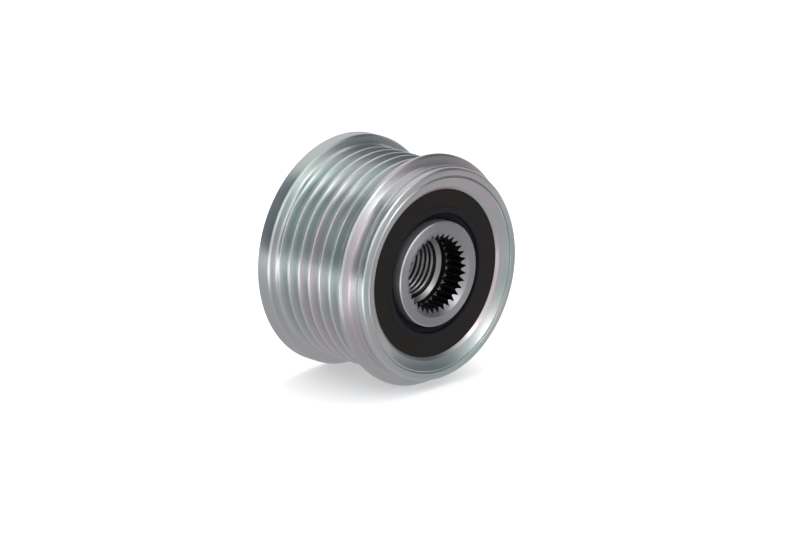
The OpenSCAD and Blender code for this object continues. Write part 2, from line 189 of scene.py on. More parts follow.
class SealSizes(bpy.types.PropertyGroup):
    """Sizes of the two shaft seals."""
    lip_r: length_setting("Lip radius", "Radius where the case's face meets the lip", LIP_R)
    bore_r: length_setting("Seal bore", "Radius of the face's bore", 15.05 * MM)
    front_run_r: length_setting(
        "Front running radius", "Radius at which the front lip runs", 13.33 * MM)
    rear_run_r: length_setting(
        "Rear running radius", "Radius at which the rear lip runs", 14.45 * MM)
    swell: length_setting("Face swell", "How far the face swells out at its bore", 0.14 * MM)
    length: length_setting("Length", "Length of a seal", 3 * MM)
    case_wall: length_setting("Case wall", "Wall of the case in the ring's bore", 1.5 * MM)
    case_face_t: length_setting("Case face thickness", "Thickness of the case's face", 0.8 * MM)
    lip_face_t: length_setting("Lip face thickness", "Thickness of the lip's face", 0.72 * MM)
    lip_depth: length_setting(
        "Lip depth", "Depth from the seal's edge to the lip's back", 1.84 * MM)
    lip_run: length_setting("Lip land", "Length of the lip's running edge", 0.35 * MM)
    step_w: length_setting("Step width", "Width of the fine step between case and lip", 0.12 * MM)
    edge_round: length_setting("Edge rounding", "Rounding of the moulded edges", 0.12 * MM)
    steps: IntProperty(
        name="Steps", description="Faces round a seal", default=192, min=32)


class FinishColours(bpy.types.PropertyGroup):
    """Base colours of the finishes."""
    zinc: colour_setting("Zinc plating", "Colour of the plated ring", (0.77, 0.79, 0.80, 1))
    zinc_pink: colour_setting(
        "Pink sheen", "Warm tint in the plating's sheen", (0.84, 0.755, 0.785, 1))
    zinc_green: colour_setting(
        "Green sheen", "Cool tint in the plating's sheen", (0.68, 0.80, 0.765, 1))
    # The zinc highlight is the colour of the painted highlight lines along the ring's edges, not
    # of worn edges
    zinc_highlight: colour_setting(
        "Zinc edge", "Colour of the ring's worn edges", (0.96, 0.96, 0.97, 1))
    hub_steel: colour_setting(
        "Hub steel", "Colour of the hub's turned faces", (0.56, 0.545, 0.575, 1))
    # The hub's highlight is the colour of the painted highlight round its front face's outer edge
    hub_highlight: colour_setting(
        "Hub edge", "Colour of the hub's front edge", (0.97, 0.97, 0.98, 1))
    # The tooth walls are painted near white, a painted highlight for the light that they catch
    tooth_wall_highlight: colour_setting(
        "Tooth walls", "Colour of the walls that end the tooth spaces", (0.97, 0.97, 0.97, 1))
    # Also the colour of the painted shade in the serration and in the thread's grooves
    tooth_oxide_and_shade: colour_setting(
        "Tooth oxide", "Dark finish of the serration", (0.03, 0.028, 0.022, 1))
    race_steel: colour_setting("Race steel", "Colour of the hardened races", (0.50, 0.51, 0.53, 1))
    roller_steel: colour_setting(
        "Roller steel", "Colour of rollers and needles", (0.68, 0.69, 0.70, 1))
    spring_steel: colour_setting(
        "Spring steel", "Colour of the folded springs", (0.48, 0.47, 0.50, 1))
    cage: colour_setting("Cage polymer", "Colour of the moulded cages", (0.13, 0.075, 0.035, 1))
    seal_case: colour_setting(
        "Seal case", "Colour of the seals' brown-black face", (0.011, 0.0085, 0.0075, 1))
    seal_rubber: colour_setting(
        "Seal rubber", "Colour of the seals' blue-black lip", (0.0085, 0.009, 0.0115, 1))


class StageSettings(bpy.types.PropertyGroup):
    """Camera, light and floor."""
    camera_azimuth: angle_setting(
        "Camera azimuth", "Direction of the camera round the object", -44.98)
    camera_elevation: angle_setting(
        "Camera elevation", "Height of the camera above the horizon", 16.87)
    camera_distance: length_setting(
        "Camera distance", "Distance of the camera from its target", 1.4083)
    target_station: length_setting(
        "Target station", "Place of the target, from the rear seat", 24 * MM)
    aim_right: length_setting(
        "Aim to the right", "How far right of the target the camera aims", -0.247 * MM)
    aim_up: length_setting("Aim up", "How far above the target the camera aims", -0.913 * MM)
    lens: FloatProperty(
        name="Lens", description="Focal length in millimetres", default=256.77)
    floor_r: length_setting("Floor radius", "Radius of the floor", 0.6)
    floor_fade: length_setting("Floor fade", "Radius from which the floor fades out", 0.35)
    floor_colour: colour_setting("Floor colour", "Colour of the floor", (0.86, 0.86, 0.87, 1))
    floor_glow: FloatProperty(
        name="Floor white", description="White that the floor adds where it is looked at",
        default=0.30, min=0)
    dome: FloatProperty(
        name="Dome", description="Strength of the soft light all round", default=0.95, min=0)
    tent: FloatProperty(
        name="Tent", description="Tone of the tent that the metal shows", default=0.6, min=0)
    tent_r: length_setting("Tent radius", "Radius of the tent round the scene", 4.0)
    tent_low: length_setting("Tent foot", "Height at which the tent ends", -2.0)
    lamp_power: FloatProperty(
        name="Lamp power", description="Power of the overhead lamp", default=3.6, min=0,
        unit="POWER")
    lamp_size: length_setting("Lamp size", "Diameter of the overhead lamp", 0.9)
    lamp_place: FloatVectorProperty(
        name="Lamp place", description="Where the overhead lamp hangs",
        default=(0.40, 0.25, 1.15), subtype="TRANSLATION")


class PulleyLooks(bpy.types.PropertyGroup):
    """All that the pulley's looks can be set by."""
    ring: PointerProperty(type=RingSizes, name="Ring", description="Sizes of the ring")
    hub: PointerProperty(type=HubSizes, name="Hub", description="Sizes of the hub")
    seals: PointerProperty(type=SealSizes, name="Seals", description="Sizes of the seals")
    finish: PointerProperty(type=FinishColours, name="Finish", description="Colours")
    stage: PointerProperty(type=StageSettings, name="Stage", description="Camera and light")


# Modelling helpers


def deselect_all():
    """Leaves nothing selected, so that an operator acts on the new piece alone."""
    if bpy.context.object and bpy.context.object.mode != "OBJECT":
        bpy.ops.object.mode_set(mode="OBJECT")
    bpy.ops.object.select_all(action="DESELECT")


def at_axis(radius, station):
    """The place of a profile point, its station counted forward from the rear seat."""
    return Vector((radius, -station, 0))


def rounded(corners, steps=4):
    """Outline points of a closed profile of (radius, station, rounding) corners."""
    points = []
    for i, (radius, station, rounding) in enumerate(corners):
        here = Vector((radius, station))
        if rounding == 0:
            points.append(here)
            continue
        before = (Vector(corners[i - 1][:2]) - here).normalized()
        after = (Vector(corners[(i + 1) % len(corners)][:2]) - here).normalized()
        half = before.angle(after) / 2
        centre = here + (before + after).normalized() * (rounding / math.sin(half))
        first = here + before * (rounding / math.tan(half)) - centre
        sweep = math.pi - 2 * half
        if first.x * after.y - first.y * after.x < 0:
            sweep = -sweep
        for k in range(steps + 1):
            points.append(centre + Matrix.Rotation(sweep * k / steps, 2) @ first)
    return points


def start_profile(points):
    """A new piece in edit mode: the closed profile, drawn point by point from a plane."""
    places = [at_axis(*point) for point in points]
    deselect_all()
    bpy.ops.mesh.primitive_plane_add(size=MM, location=places[0])
    bpy.ops.object.transform_apply(location=True, rotation=True, scale=True)
    bpy.ops.object.mode_set(mode="EDIT")
    bpy.ops.mesh.merge(type="CENTER")
    for before, place in zip(places, places[1:]):
        bpy.ops.mesh.extrude_region_move(TRANSFORM_OT_translate={"value": place - before})
    mesh = bmesh.from_edit_mesh(bpy.context.object.data)
    for vertex in mesh.verts:
        vertex.select_set(len(vertex.link_edges) < 2)
    mesh.select_flush_mode()
    bmesh.update_edit_mesh(bpy.context.object.data)
    bpy.ops.mesh.edge_face_add()
    bpy.ops.mesh.select_all(action="SELECT")
    return bpy.context.object


def close_piece(piece, name, crease=30):
    """Merges doubles, turns the faces outwards and smooths all but the sharp edges."""
    bpy.ops.object.mode_set(mode="EDIT")
    bpy.ops.mesh.select_all(action="SELECT")
    bpy.ops.mesh.remove_doubles(threshold=0.001 * MM)
    bpy.ops.mesh.normals_make_consistent(inside=False)
    bpy.ops.object.mode_set(mode="OBJECT")
    bpy.ops.object.shade_smooth_by_angle(angle=math.radians(crease))
    piece.name = name
    piece.data.name = name
    return piece


def turned(name, points, steps):
    """A piece turned from a closed profile round the part's axis."""
    piece = start_profile(points)
    bpy.ops.mesh.spin(steps=steps, angle=2 * math.pi, center=(0, 0, 0), axis=AXIS)
    return close_piece(piece, name)


def finish_piece(piece, material, body, replaced=None):
    """Gives a piece its material and its body, and hides the node that it stands in for."""
    piece.data.materials.clear()
    piece.data.materials.append(material)
    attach(piece, body)
    if replaced:
        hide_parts(replaced)


# Node helpers


def fill_inputs(tree, node, inputs):
    """Links each input that is given a socket, and sets each that is given a value."""
    for name, value in inputs.items():
        if isinstance(value, bpy.types.NodeSocket):
            tree.links.new(value, node.inputs[name])
        else:
            node.inputs[name].default_value = value
    return node


def add(tree, kind, inputs=None, **settings):
    """Adds a shader node, sets it up and links or fills its inputs."""
    node = tree.nodes.new("ShaderNode" + kind)
    for name, value in settings.items():
        setattr(node, name, value)
    return fill_inputs(tree, node, inputs or {})


def calc(tree, operation, first, second=0.0, third=0.0):
    """The result of one Math node."""
    return add(tree, "Math", {0: first, 1: second, 2: third}, operation=operation).outputs[0]


def turned_place(tree, place):
    """The radius from the axis and the station forward of the rear seat, for a position."""
    split = add(tree, "SeparateXYZ", {"Vector": place})
    flat = add(tree, "CombineXYZ", {"X": split.outputs["X"], "Z": split.outputs["Z"]})
    radius = add(tree, "VectorMath", {0: flat.outputs[0]}, operation="LENGTH").outputs["Value"]
    return radius, calc(tree, "MULTIPLY", split.outputs["Y"], -1.0)


def smooth_step(tree, value, low, high):
    """0 at low and beyond it, 1 at high and beyond it, smooth between."""
    node = add(tree, "MapRange", {"Value": value, "From Min": low, "From Max": high},
               interpolation_type="SMOOTHSTEP")
    return node.outputs["Result"]


def blend_colours(tree, factor, first, second):
    """The mix of two colours."""
    return add(tree, "Mix", {0: factor, 6: first, 7: second}, data_type="RGBA").outputs[2]


def looking_rays(tree):
    """1 on the camera's rays and on those that mirrors and glass pass on, 0 on the rest."""
    rays = add(tree, "LightPath").outputs
    seen = calc(tree, "MAXIMUM", rays["Is Camera Ray"], rays["Is Glossy Ray"])
    return calc(tree, "MAXIMUM", seen, rays["Is Transmission Ray"])


def new_group(name, inputs, outputs):
    """A node group with named sockets; returns its tree, its input and its output node."""
    tree = bpy.data.node_groups.new(name, "ShaderNodeTree")
    for label, kind, value in inputs:
        socket = tree.interface.new_socket(name=label, in_out="INPUT", socket_type=kind)
        if value is not None:
            socket.default_value = value
    for label, kind in outputs:
        tree.interface.new_socket(name=label, in_out="OUTPUT", socket_type=kind)
    return tree, tree.nodes.new("NodeGroupInput"), tree.nodes.new("NodeGroupOutput")


def use_group(tree, name, inputs):
    """Places a group in a material with its own values."""
    node = tree.nodes.new("ShaderNodeGroup")
    node.node_tree = bpy.data.node_groups[name]
    return fill_inputs(tree, node, inputs)


# Effects that the materials share


def make_turning_group():
    """Fine rings that a lathe leaves, as a height and as a tone."""
    tree, given, result = new_group(
        "Turning marks",
        [("Position", "NodeSocketVector", None), ("Marks per mm", "NodeSocketFloat", 5.0),
         ("Waviness", "NodeSocketFloat", 0.15)],
        [("Height", "NodeSocketFloat"), ("Tone", "NodeSocketFloat")])
    split = add(tree, "SeparateXYZ", {"Vector": given.outputs["Position"]})
    along = calc(tree, "ADD", *turned_place(tree, given.outputs["Position"]))
    rate = calc(tree, "MULTIPLY", given.outputs["Marks per mm"], 1 / MM)
    around = calc(tree, "MULTIPLY", given.outputs["Waviness"], 0.1 / MM)
    place = add(tree, "CombineXYZ", {
        "X": calc(tree, "MULTIPLY", along, rate),
        "Y": calc(tree, "MULTIPLY", split.outputs["X"], around),
        "Z": calc(tree, "MULTIPLY", split.outputs["Z"], around)})
    fine = add(tree, "TexNoise", {"Vector": place.outputs[0], "Scale": 1.0, "Detail": 2.0,
                                  "Roughness": 0.55})
    slow = add(tree, "VectorMath", {0: place.outputs[0], 1: (0.13, 0.6, 0.6)},
               operation="MULTIPLY")
    broad = add(tree, "TexNoise", {"Vector": slow.outputs[0], "Scale": 1.0, "Detail": 1.0})
    tree.links.new(fine.outputs["Fac"], result.inputs["Height"])
    tone = calc(tree, "ADD", calc(tree, "MULTIPLY", fine.outputs["Fac"], 0.4),
                calc(tree, "MULTIPLY", broad.outputs["Fac"], 0.6))
    tree.links.new(tone, result.inputs["Tone"])


def make_grain_group():
    """Even fine grain, as a height, with a slow drift of tone over the piece."""
    tree, given, result = new_group(
        "Grain",
        [("Position", "NodeSocketVector", None), ("Grains per mm", "NodeSocketFloat", 8.0)],
        [("Height", "NodeSocketFloat"), ("Drift", "NodeSocketFloat")])
    rate = calc(tree, "MULTIPLY", given.outputs["Grains per mm"], 1 / MM)
    fine = add(tree, "TexNoise", {"Vector": given.outputs["Position"], "Scale": rate,
                                  "Detail": 2.0})
    drift = add(tree, "TexNoise", {"Vector": given.outputs["Position"], "Scale": 260.0,
                                   "Detail": 3.0})
    tree.links.new(fine.outputs["Fac"], result.inputs["Height"])
    tree.links.new(drift.outputs["Fac"], result.inputs["Drift"])


def make_edge_group():
    """The mask of a painted highlight line along a turned edge, or along edges that follow each
    other at one spacing.
    """
    tree, given, result = new_group(
        "Edge line",
        [("Position", "NodeSocketVector", None), ("Radius", "NodeSocketFloat", 0.02),
         ("Station", "NodeSocketFloat", 0.0), ("Spacing", "NodeSocketFloat", 1.0),
         ("Width", "NodeSocketFloat", 0.0003)],
        [("Mask", "NodeSocketFloat")])
    radius, station = turned_place(tree, given.outputs["Position"])
    half = calc(tree, "MULTIPLY", given.outputs["Spacing"], 0.5)
    along = calc(tree, "WRAP", calc(tree, "SUBTRACT", station, given.outputs["Station"]),
                 half, calc(tree, "MULTIPLY", half, -1.0))
    across = calc(tree, "SUBTRACT", radius, given.outputs["Radius"])
    away = add(tree, "CombineXYZ", {"X": along, "Y": across}).outputs[0]
    away = add(tree, "VectorMath", {0: away}, operation="LENGTH").outputs["Value"]
    inner = calc(tree, "MULTIPLY", given.outputs["Width"], 0.5)
    tree.links.new(smooth_step(tree, away, given.outputs["Width"], inner),
                   result.inputs["Mask"])


def make_scuff_group():
    """Faint smudges and hairline scuffs from handling."""
    tree, given, result = new_group(
        "Handling",
        [("Position", "NodeSocketVector", None), ("Amount", "NodeSocketFloat", 0.5)],
        [("Smudge", "NodeSocketFloat"), ("Scuff", "NodeSocketFloat")])
    cloud = add(tree, "TexNoise", {"Vector": given.outputs["Position"], "Scale": 90.0,
                                   "Detail": 4.0, "Roughness": 0.6, "Distortion": 0.4})
    smudge = calc(tree, "MULTIPLY", smooth_step(tree, cloud.outputs["Fac"], 0.48, 0.72),
                  given.outputs["Amount"])
    stretched = add(tree, "VectorMath", {0: given.outputs["Position"], 1: (2600.0, 420.0, 900.0)},
                    operation="MULTIPLY")
    lines = add(tree, "TexNoise", {"Vector": stretched.outputs[0], "Scale": 1.0, "Detail": 2.0,
                                   "Distortion": 0.8})
    scuff = calc(tree, "MULTIPLY", smooth_step(tree, lines.outputs["Fac"], 0.66, 0.74),
                 given.outputs["Amount"])
    tree.links.new(smudge, result.inputs["Smudge"])
    tree.links.new(scuff, result.inputs["Scuff"])


# Materials


def new_material(name):
    """A material with its tree, its shader and the position on its piece."""
    material = bpy.data.materials.new(name)
    material.use_nodes = True
    tree = material.node_tree
    tree.nodes.clear()
    shader = add(tree, "BsdfPrincipled")
    output = add(tree, "OutputMaterial")
    tree.links.new(shader.outputs[0], output.inputs["Surface"])
    place = add(tree, "TexCoord").outputs["Object"]
    return material, tree, shader, place


def turned_metal(tree, shader, place, colour, marks, roughness, bump, anisotropic, handling):
    """Metal with lathe marks that draw its gloss out across them."""
    turning = use_group(tree, "Turning marks", {"Position": place, "Marks per mm": marks})
    scuffs = use_group(tree, "Handling", {"Position": place, "Amount": handling})
    spread = 0.16
    rough = calc(tree, "MULTIPLY_ADD", turning.outputs["Tone"], spread, roughness - spread / 2)
    rough = calc(tree, "MULTIPLY_ADD", scuffs.outputs["Smudge"], 0.10, rough)
    tree.links.new(colour, shader.inputs["Base Color"])
    tree.links.new(rough, shader.inputs["Roughness"])
    shader.inputs["Metallic"].default_value = 1.0
    shader.inputs["Anisotropic"].default_value = anisotropic
    shader.inputs["Anisotropic Rotation"].default_value = 0.25
    tangent = add(tree, "Tangent", direction_type="RADIAL", axis="Y")
    tree.links.new(tangent.outputs[0], shader.inputs["Tangent"])
    lines = add(tree, "Bump", {"Height": turning.outputs["Height"], "Strength": bump,
                               "Distance": 0.004 * MM})
    tree.links.new(lines.outputs[0], shader.inputs["Normal"])


def zinc_plating(finish, ring):
    """Clear zinc plating on turned steel, with a faint pink and green sheen, and painted highlight
    lines along its crests and edges.
    """
    material, tree, shader, place = new_material("zinc_plating")
    sheen = use_group(tree, "Turning marks", {"Position": place, "Marks per mm": 1.1,
                                              "Waviness": 0.5})
    warm = smooth_step(tree, sheen.outputs["Tone"], 0.50, 0.62)
    cool = smooth_step(tree, sheen.outputs["Tone"], 0.50, 0.38)
    colour = blend_colours(tree, warm, tuple(finish.zinc), tuple(finish.zinc_pink))
    colour = blend_colours(tree, cool, colour, tuple(finish.zinc_green))
    # The grooves are greener towards their bottoms
    flange_end, _, first_crest = groove_stations(ring)
    radius, station = turned_place(tree, place)
    deep = smooth_step(tree, radius, ring.crest_r - 0.5 * MM, ring.crest_r - 2.2 * MM)
    grooved = calc(tree, "LESS_THAN", station, first_crest + ring.groove_count * ring.rib_pitch)
    green = calc(tree, "MULTIPLY", calc(tree, "MULTIPLY", deep, grooved), 0.7)
    colour = blend_colours(tree, green, colour, tuple(finish.zinc_green))
    # Painted highlights: bright lines along the crests, the rear flange's front edge and the rim's
    # front edge, where the rounded edges would catch the light. A spacing longer than the part
    # gives one line alone.
    alone = 1.0
    for line_r, line_station, spacing in ((ring.crest_r, first_crest, ring.rib_pitch),
                                          (ring.flange_r, flange_end, alone),
                                          (ring.rim_r, RING_FRONT, alone)):
        line = use_group(tree, "Edge line", {
            "Position": place, "Radius": line_r, "Station": line_station, "Spacing": spacing,
            "Width": ring.shine_w})
        colour = blend_colours(tree, line.outputs["Mask"], colour, tuple(finish.zinc_highlight))
    turned_metal(tree, shader, place, colour, marks=2.6, roughness=0.33, bump=0.6,
                 anisotropic=0.75, handling=0.3)
    return material


def hub_finish(finish, hub):
    """Turned hub steel, with a dark finish and painted shade in the serration, painted shade in
    the thread's grooves, and painted highlights on its front edge and tooth walls.
    """
    material, tree, shader, place = new_material("hub_steel")
    radius, station = turned_place(tree, place)
    near = 0.02 * MM
    far = 0.06 * MM
    # The teeth and the bore behind them are dark, with a dark finish and painted shade. The
    # countersink before them, the walls that end the tooth spaces and the cone behind stay light,
    # and the walls get a painted highlight.
    sink = 1 / math.tan(hub.countersink_angle / 2)
    below = calc(tree, "MULTIPLY_ADD", calc(tree, "SUBTRACT", hub.countersink_r, radius), -sink,
                 calc(tree, "SUBTRACT", HUB_FRONT, station))
    teeth = calc(tree, "MULTIPLY", smooth_step(tree, below, near, far),
                 smooth_step(tree, station, hub.cone_start + near, hub.cone_start + far))
    teeth = calc(tree, "MULTIPLY", teeth, calc(tree, "LESS_THAN", radius, hub.countersink_r))
    # The walls that end the tooth spaces get a painted highlight instead of the dark finish
    from_end = calc(tree, "ABSOLUTE", calc(tree, "SUBTRACT", station, hub.tooth_end))
    wall = calc(tree, "MULTIPLY", calc(tree, "LESS_THAN", from_end, near / 2),
                calc(tree, "GREATER_THAN", radius, hub.relief_r + near))
    teeth = calc(tree, "MULTIPLY", teeth, calc(tree, "SUBTRACT", 1.0, wall))
    # Painted shade darkens the thread's grooves; its crests keep the steel's colour
    in_thread = calc(tree, "MULTIPLY",
                     calc(tree, "LESS_THAN", station, hub.cone_start - hub.groove_set),
                     calc(tree, "LESS_THAN", radius, hub.thread_r + hub.thread_foot))
    grooves = calc(tree, "MULTIPLY", in_thread, smooth_step(
        tree, radius, hub.thread_r - 0.85 * hub.thread_depth,
        hub.thread_r - 0.5 * hub.thread_depth))
    dark = calc(tree, "MAXIMUM", teeth, grooves)
    turning = use_group(tree, "Turning marks", {"Position": place, "Marks per mm": 1.6})
    steel = tuple(finish.hub_steel)
    darker = tuple(0.86 * c for c in steel[:3]) + (1,)
    colour = blend_colours(tree, turning.outputs["Tone"], darker, steel)
    # Dark finish and painted shade in the serration, painted shade in the thread's grooves
    colour = blend_colours(tree, dark, colour, tuple(finish.tooth_oxide_and_shade))
    # Painted highlight on the walls that end the tooth spaces
    colour = blend_colours(tree, wall, colour, tuple(finish.tooth_wall_highlight))
    # A painted highlight: a bright line round the outer edge of the front face
    edge = use_group(tree, "Edge line", {"Position": place, "Radius": hub.shank_r,
                                         "Station": HUB_FRONT, "Width": hub.shine_w})
    colour = blend_colours(tree, edge.outputs["Mask"], colour, tuple(finish.hub_highlight))
    turned_metal(tree, shader, place, colour, marks=7.0, roughness=0.40, bump=0.3,
                 anisotropic=0.7, handling=0.25)
    return material


def plain_metal(name, colour, roughness, marks):
    """Ground or rolled steel of the pieces inside."""
    material, tree, shader, place = new_material(name)
    turning = use_group(tree, "Turning marks", {"Position": place, "Marks per mm": marks / 3})
    shaded = tuple(0.82 * c for c in colour[:3]) + (1,)
    mixed = blend_colours(tree, turning.outputs["Tone"], shaded, tuple(colour))
    turned_metal(tree, shader, place, mixed, marks, roughness, bump=0.2, anisotropic=0.3,
                 handling=0.4)
    return material


def moulded(name, colour, roughness, grains, bump):
    """Moulded polymer or rubber with a fine grain."""
    material, tree, shader, place = new_material(name)
    grain = use_group(tree, "Grain", {"Position": place, "Grains per mm": grains})
    scuffs = use_group(tree, "Handling", {"Position": place, "Amount": 0.5})
    paler = tuple(min(1.0, 1.35 * c) for c in colour[:3]) + (1,)
    mixed = blend_colours(tree, grain.outputs["Drift"], tuple(colour), paler)
    tree.links.new(mixed, shader.inputs["Base Color"])
    spread = 0.12
    rough = calc(tree, "MULTIPLY_ADD", grain.outputs["Drift"], spread, roughness - spread / 2)
    rough = calc(tree, "MULTIPLY_ADD", scuffs.outputs["Smudge"], 0.08, rough)
    tree.links.new(rough, shader.inputs["Roughness"])
    shader.inputs["Specular IOR Level"].default_value = 0.2
    relief = add(tree, "Bump", {"Height": grain.outputs["Height"], "Strength": bump,
                                "Distance": 0.01 * MM})
    tree.links.new(relief.outputs[0], shader.inputs["Normal"])
    return material


def floor_finish(stage):
    """Pale floor that keeps the object's shadow and fades out into the white around it."""
    material, tree, shader, place = new_material("floor")
    shader.inputs["Base Color"].default_value = tuple(stage.floor_colour)
    shader.inputs["Roughness"].default_value = 0.9
    shader.inputs["Specular IOR Level"].default_value = 0.0
    glow = calc(tree, "MULTIPLY", looking_rays(tree), stage.floor_glow)
    shader.inputs["Emission Color"].default_value = (1, 1, 1, 1)
    tree.links.new(glow, shader.inputs["Emission Strength"])
    away = add(tree, "VectorMath", {0: place}, operation="LENGTH").outputs["Value"]
    tree.links.new(smooth_step(tree, away, stage.floor_r, stage.floor_fade),
                   shader.inputs["Alpha"])
    return material


# Pieces


def groove_stations(ring):
    """Stations of the rear flange's front edge, of its slope's foot and of the first crest."""
    flange_end = RING_REAR + ring.rear_flange_w
    first_land = flange_end + ring.rear_slope_w
    return flange_end, first_land, first_land + ring.rear_land_w - ring.crest_w / 2


def ring_corners(ring):
    """Corners of the ring's profile, from the rear bore over the grooves to the front."""
    fine = ring.edge_round
    bore = SEAL_R
    lead = bore + ring.lead_w
    flange_end, first_land, first_crest = groove_stations(ring)
    last_crest = first_crest + ring.groove_count * ring.rib_pitch
    slope = last_crest + ring.crest_w / 2
    bead = slope + ring.front_slope_w
    bead_end = bead + ring.front_flange_w
    rim_start = bead_end + ring.shoulder_w
    recess_face = RING_FRONT - ring.recess_depth
    cut = ring.flange_chamfer
    corners = [
        (lead, RING_REAR, fine),
        (ring.flange_r - cut, RING_REAR, fine),
        (ring.flange_r, RING_REAR + cut, fine),
        (ring.flange_r, flange_end - cut, fine),
        (ring.flange_r - cut, flange_end, fine),
        (ring.crest_r, first_land, ring.rear_fillet),
    ]
    half_w = (ring.rib_pitch - ring.crest_w) / 2
    apex_r = ring.crest_r - half_w / math.tan(ring.groove_angle / 2)
    for i in range(ring.groove_count):
        centre = first_crest + (i + 0.5) * ring.rib_pitch
        corners += [
            (ring.crest_r, centre - half_w, ring.crest_round),
            (apex_r, centre, ring.root_round),
            (ring.crest_r, centre + half_w, ring.crest_round),
        ]
    foot_r = ring.flange_r - ring.front_flange_rise
    top_r = ring.flange_r - 0.05 * ring.front_flange_rise
    quarter = ring.front_flange_w / 4
    snap_front = RING_FRONT - ring.snap_set
    snap_rear = snap_front - ring.snap_w
    snap_floor = ring.rim_r - ring.snap_depth
    lean = ring.snap_depth / 4
    corners += [
        (ring.crest_r, slope, fine),
        (foot_r, bead, fine),
        (top_r, bead + quarter, 4 * fine),
        (top_r, bead_end - quarter, 4 * fine),
        (foot_r, bead_end, fine),
        (ring.rim_r, rim_start, 1.5 * fine),
        (ring.rim_r, snap_rear, 0.5 * fine),
        (snap_floor, snap_rear + lean, 0.5 * fine),
        (snap_floor, snap_front - lean, 0.5 * fine),
        (ring.rim_r, snap_front, 0.5 * fine),
        (ring.rim_r, RING_FRONT, 6 * fine),
        (ring.recess_r, RING_FRONT, 1.5 * fine),
        (ring.recess_r, recess_face, ring.recess_round),
        (lead, recess_face, fine),
        (bore, recess_face - ring.lead_l, 0),
        (bore, RING_REAR + ring.lead_l, 0),
    ]
    return corners


def thread_profile(hub, station):
    """Closed profile of the thread's ridge, its foot a little inside the bore's wall."""
    foot_w = hub.crest_w / 2 + hub.thread_depth * math.tan(hub.thread_flank)
    foot_r = hub.thread_r + hub.thread_foot
    crest_r = hub.thread_r - hub.thread_depth
    fine = hub.thread_round
    return rounded([
        (foot_r, station - foot_w, 0),
        (foot_r, station + foot_w, 0),
        (crest_r, station + hub.crest_w / 2, fine),
        (crest_r, station - hub.crest_w / 2, fine),
    ], steps=2)


def seal_corners(seals, edge, inward, run_r, lip):
    """Corners of a seal's case or lip, counted inwards from the seal's outer edge."""
    fine = seals.edge_round
    rise = seals.swell * (SEAL_R - seals.lip_r) / (SEAL_R - seals.bore_r)
    if lip:
        ridge = seals.lip_r - seals.step_w
        corners = [
            (seals.lip_r, rise * -0.2, 0.2 * fine),
            (ridge, -rise, 0.4 * fine),
            (seals.bore_r, -seals.swell, 1.6 * fine),
            (seals.bore_r, seals.lip_face_t, 2 * fine),
            (run_r, seals.lip_depth - seals.lip_run, fine),
            (run_r, seals.lip_depth, 0.5 * fine),
            (seals.lip_r, seals.lip_depth, 0.5 * fine),
        ]
    else:
        wall_r = SEAL_R - seals.case_wall
        corners = [
            (SEAL_R, 0, 1.5 * fine),
            (SEAL_R, seals.length, 0.5 * fine),
            (wall_r, seals.length, 0.5 * fine),
            (wall_r, seals.case_face_t, 2 * fine),
            (seals.lip_r, seals.case_face_t, 0),
            (seals.lip_r, -rise, 0.5 * fine),
        ]
    return [(r, edge + inward * depth, rounding) for r, depth, rounding in corners]


class PULLEY_OT_shared_effects(bpy.types.Operator):
    """Makes the node groups that the finishes share"""
    bl_idname = "pulley.shared_effects"
    bl_label = "Shared effects"

    def execute(self, context):
        make_turning_group()
        make_grain_group()
        make_edge_group()
        make_scuff_group()
        return {"FINISHED"}


class PULLEY_OT_ring(bpy.types.Operator):
    """Turns the grooved ring with its rounded edges"""
    bl_idname = "pulley.ring"
    bl_label = "Grooved ring"

    def execute(self, context):
        looks = context.scene.pulley_looks
        ring = turned("grooved_ring", rounded(ring_corners(looks.ring)), looks.ring.steps)
        finish_piece(ring, zinc_plating(looks.finish, looks.ring), "pulley",
                     "pulley_ring")
        return {"FINISHED"}


class PULLEY_OT_hub(bpy.types.Operator):
    """Finishes the hub and adds the thread's ridge in its bore"""
    bl_idname = "pulley.hub"
    bl_label = "Hub and thread"

    def execute(self, context):
        looks = context.scene.pulley_looks
        hub = looks.hub
        material = hub_finish(looks.finish, hub)
        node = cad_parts["hub"]
        node.data.materials.clear()
        node.data.materials.append(material)
        ridge = start_profile(thread_profile(hub, hub.thread_start))
        bpy.ops.object.mode_set(mode="OBJECT")
        screw = ridge.modifiers.new("Screw", "SCREW")
        screw.axis = "Y"
        screw.angle = -2 * math.pi
        screw.screw_offset = -hub.thread_pitch
        screw.iterations = hub.thread_turns
        screw.steps = hub.steps
        screw.render_steps = hub.steps
        screw.use_merge_vertices = False
        bpy.ops.object.modifier_apply(modifier="Screw")
        ridge.rotation_euler.y = hub.thread_side
        bpy.ops.object.transform_apply(rotation=True)
        bpy.ops.object.mode_set(mode="EDIT")
        bpy.ops.mesh.select_all(action="DESELECT")
        bpy.ops.mesh.select_non_manifold()
        bpy.ops.mesh.fill_holes(sides=0)
        close_piece(ridge, "hub_thread", crease=25)
        finish_piece(ridge, material, "hub_side")
        return {"FINISHED"}


class PULLEY_OT_seals(bpy.types.Operator):
    """Turns the cases and lips of the front and the rear seal"""
    bl_idname = "pulley.seals"
    bl_label = "Seals"

    def execute(self, context):
        looks = context.scene.pulley_looks
        seals = looks.seals
        case = moulded("seal_case", looks.finish.seal_case,
                       roughness=0.46, grains=9.0, bump=0.25)
        rubber = moulded("seal_rubber", looks.finish.seal_rubber,
                         roughness=0.36, grains=7.0, bump=0.3)
        ends = (("front", FRONT_SEAL_INNER + seals.length, -1, seals.front_run_r),
                ("rear", REAR_SEAL_INNER - seals.length, 1, seals.rear_run_r))
        for end, edge, inward, run_r in ends:
            for part, material, slot in (("case", case, "seal_case"),
                                         ("lip", rubber, "seal_rubber")):
                corners = seal_corners(seals, edge, inward, run_r, part == "lip")
                piece = turned(f"{end}_{part}_moulding", rounded(corners), seals.steps)
                finish_piece(piece, material, "pulley", f"{end}_seal_{part}")
        return {"FINISHED"}


